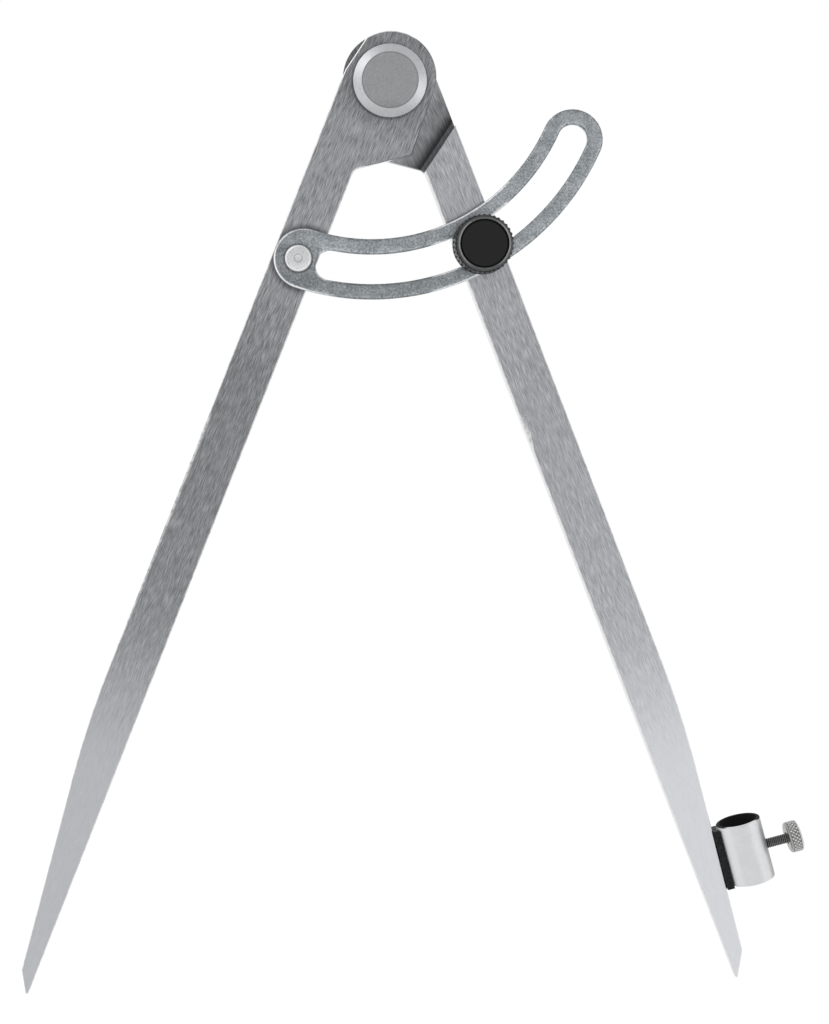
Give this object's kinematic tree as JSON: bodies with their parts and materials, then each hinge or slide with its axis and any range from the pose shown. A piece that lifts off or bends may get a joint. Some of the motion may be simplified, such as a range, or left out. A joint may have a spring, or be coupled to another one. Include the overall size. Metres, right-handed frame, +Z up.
{
  "type": "wing compass",
  "caption": "Pointed steel wing compass: half-lapped legs on a riveted head, a slotted arc plate with a clamp knob, and a pencil tube with a thumbscrew.",
  "frame": {"origin": "on the pivot's axis, at the flat rear end of the pivot rivet, which is flush with its washer", "axes": "+Z up towards the head with the points down, as the compass is held in use; +Y out of the back; -Y out of the front, where the wing and the knob are; +X to the right seen from the front"},
  "size_m": [0.1903, 0.0206, 0.2339],
  "materials": {
    "leg_steel": "ground along the leg, smoother towards the points",
    "rivet_steel": "turned satin",
    "zinc_plate": "mottled bluish zinc plating",
    "bright_rivet": "bright satin",
    "knob_nickel": "dark nickel, knurled",
    "cap_black": "matt black",
    "insert_brass": "turned",
    "bracket_dark": "blackened",
    "tube_steel": "bright satin",
    "shank_steel": "dark threaded steel",
    "thumbscrew_steel": "nickel plated, diamond knurled"
  },
  "bodies": {
    "left_leg": {"left_leg": "leg_steel", "pivot_rivet": "rivet_steel", "pivot_rear_washer": "rivet_steel", "wing_rivet": "bright_rivet"},
    "right_leg": {"right_leg": "leg_steel", "clamp_stud": "rivet_steel", "holder_bracket": "bracket_dark", "pencil_tube": "tube_steel"},
    "wing": {"wing_plate": "zinc_plate"},
    "clamp_washer": {"clamp_washer": "rivet_steel"},
    "knob": {"knob_body": "knob_nickel", "knob_insert": "insert_brass", "knob_cap": "cap_black"},
    "thumbscrew_shank": {"thumbscrew_shank": "shank_steel"},
    "thumbscrew_head": {"thumbscrew_head": "thumbscrew_steel"}
  },
  "joints": [
    {"name": "leg_opening", "type": "hinge", "parent": "left_leg", "child": "right_leg", "pos_m": [0, -0.0057, 0], "axis": [0, -1, 0], "range_deg": [-41, 40]},
    {"name": "wing_swing", "type": "hinge", "parent": "left_leg", "child": "wing", "pos_m": [-0.02215, -0.01, -0.04294], "axis": [0, -1, 0], "range_deg": [-0.8, 0.8]},
    {"name": "clamp_lift", "type": "slide", "parent": "right_leg", "child": "clamp_washer", "axis": [0, -1, 0], "range_m": [0, 0.00142]},
    {"name": "knob_turn", "type": "hinge", "parent": "clamp_washer", "child": "knob", "pos_m": [0.02196, -0.016, -0.03983], "axis": [0, -1, 0], "range_deg": [0, 720]},
    {"name": "thumbscrew_travel", "type": "slide", "parent": "right_leg", "child": "thumbscrew_shank", "axis": [0.9665, 0, 0.2566], "range_m": [-0.00301, 0.00101]},
    {"name": "thumbscrew_turn", "type": "hinge", "parent": "thumbscrew_shank", "child": "thumbscrew_head", "pos_m": [0.08671, -0.0057, -0.18664], "axis": [0.9665, 0, 0.2566], "range_deg": [-2400, 800]}
  ],
  "couplings": [
    {"joint": "wing_swing", "follows": "leg_opening", "ratio": -0.016},
    {"joint": "clamp_lift", "follows": "knob_turn", "m_per_rad": 0.0001114},
    {"joint": "thumbscrew_travel", "follows": "thumbscrew_turn", "m_per_rad": 0.0000716}
  ]
}
